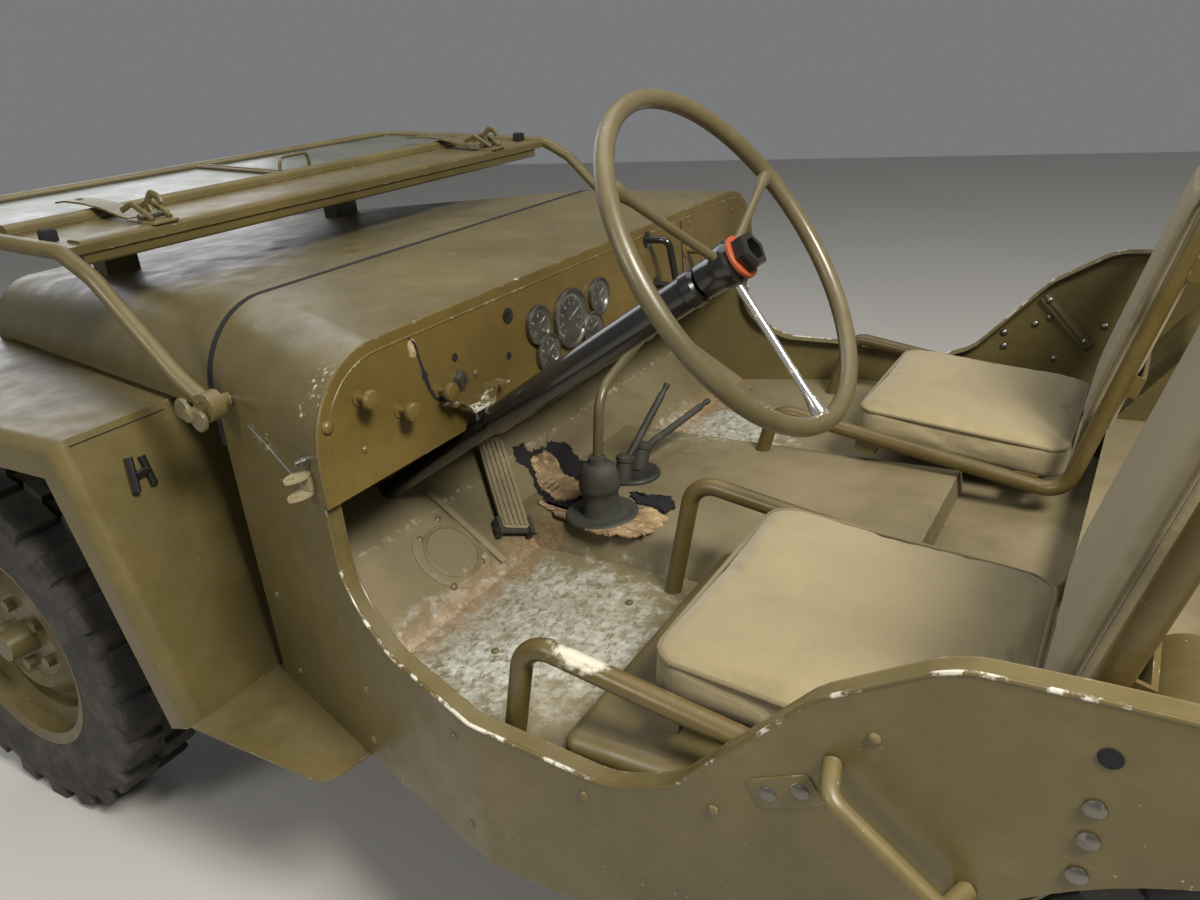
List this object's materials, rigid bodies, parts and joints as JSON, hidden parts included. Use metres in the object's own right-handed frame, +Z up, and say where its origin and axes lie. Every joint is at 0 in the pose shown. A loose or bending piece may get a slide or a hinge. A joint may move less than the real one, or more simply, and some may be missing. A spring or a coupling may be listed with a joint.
{
  "type": "light open military utility car",
  "caption": "Open four-wheel-drive utility car with flat fenders, slotted grille, fold-down windshield, cut-down doorless tub, bucket seats and a rear spare wheel.",
  "frame": {"origin": "on the ground, midway along the length and the width", "axes": "+X forward, +Y to the driver's left side, +Z up"},
  "size_m": [3.36, 1.578, 1.2759],
  "materials": {
    "olive_paint": "satin",
    "dark_paint": "satin",
    "tyre_rubber": "matte",
    "canvas": "matte",
    "black_rubber": "matte",
    "clear_glass": "polished",
    "lamp_glass": "polished"
  },
  "bodies": {
    "vehicle_body": {"body_handles": "olive_paint", "chassis_frame": "dark_paint", "cowl": "olive_paint", "dash_panel": "olive_paint", "drive_shafts": "dark_paint", "engine_and_gearbox": "dark_paint", "floor_pan": "olive_paint", "front_axle": "dark_paint", "front_bumper": "olive_paint", "front_seat_backs": "canvas", "front_seat_cushions": "canvas", "front_seat_frames": "olive_paint", "fuel_tank": "olive_paint", "gear_levers": "black_rubber", "grille": "olive_paint", "headlamps": "lamp_glass", "hood": "olive_paint", "leaf_springs": "dark_paint", "left_fender": "olive_paint", "left_side_panel": "olive_paint", "mirror_bracket": "olive_paint", "radiator": "dark_paint", "rear_axle": "dark_paint", "rear_bumperettes": "olive_paint", "rear_panel": "olive_paint", "rear_seat_frame": "olive_paint", "rear_seat_pads": "canvas", "right_fender": "olive_paint", "right_side_panel": "olive_paint", "spare_carrier": "olive_paint", "spare_tyre": "tyre_rubber", "spare_wheel": "olive_paint", "steering_column": "olive_paint", "wheel_boxes": "olive_paint"},
    "front_left_wheel": {"front_left_tyre": "tyre_rubber", "front_left_wheel": "olive_paint"},
    "front_right_wheel": {"front_right_tyre": "tyre_rubber", "front_right_wheel": "olive_paint"},
    "rear_left_wheel": {"rear_left_tyre": "tyre_rubber", "rear_left_wheel": "olive_paint"},
    "rear_right_wheel": {"rear_right_tyre": "tyre_rubber", "rear_right_wheel": "olive_paint"},
    "left_knuckle": {"left_knuckle": "dark_paint"},
    "right_knuckle": {"right_knuckle": "dark_paint"},
    "steering_wheel": {"steering_wheel": "olive_paint"},
    "windshield": {"windshield_frame": "olive_paint", "windshield_glass": "clear_glass"}
  },
  "joints": [
    {"name": "left_steer", "type": "hinge", "parent": "vehicle_body", "child": "left_knuckle", "pos_m": [1.121, 0.51, 0.362], "axis": [0, 0, 1], "range_deg": [-28, 28]},
    {"name": "right_steer", "type": "hinge", "parent": "vehicle_body", "child": "right_knuckle", "pos_m": [1.121, -0.51, 0.362], "axis": [0, 0, 1], "range_deg": [-28, 28]},
    {"name": "front_left_roll", "type": "hinge", "parent": "left_knuckle", "child": "front_left_wheel", "pos_m": [1.121, 0.6225, 0.362], "axis": [0, 1, 0], "continuous": true},
    {"name": "front_right_roll", "type": "hinge", "parent": "right_knuckle", "child": "front_right_wheel", "pos_m": [1.121, -0.6225, 0.362], "axis": [0, 1, 0], "continuous": true},
    {"name": "rear_left_roll", "type": "hinge", "parent": "vehicle_body", "child": "rear_left_wheel", "pos_m": [-0.911, 0.6225, 0.362], "axis": [0, 1, 0], "continuous": true},
    {"name": "rear_right_roll", "type": "hinge", "parent": "vehicle_body", "child": "rear_right_wheel", "pos_m": [-0.911, -0.6225, 0.362], "axis": [0, 1, 0], "continuous": true},
    {"name": "steering_wheel_turn", "type": "hinge", "parent": "vehicle_body", "child": "steering_wheel", "pos_m": [-0.277, 0.386, 1.09], "axis": [-0.8409, 0, 0.5411], "range_deg": [-392, 392]},
    {"name": "windshield_fold", "type": "hinge", "parent": "vehicle_body", "child": "windshield", "pos_m": [0.4, 0, 0.918], "axis": [0, -1, 0], "range_deg": [0, 103]}
  ],
  "couplings": [
    {"joint": "right_steer", "follows": "left_steer", "ratio": 1},
    {"joint": "steering_wheel_turn", "follows": "left_steer", "ratio": 14}
  ]
}
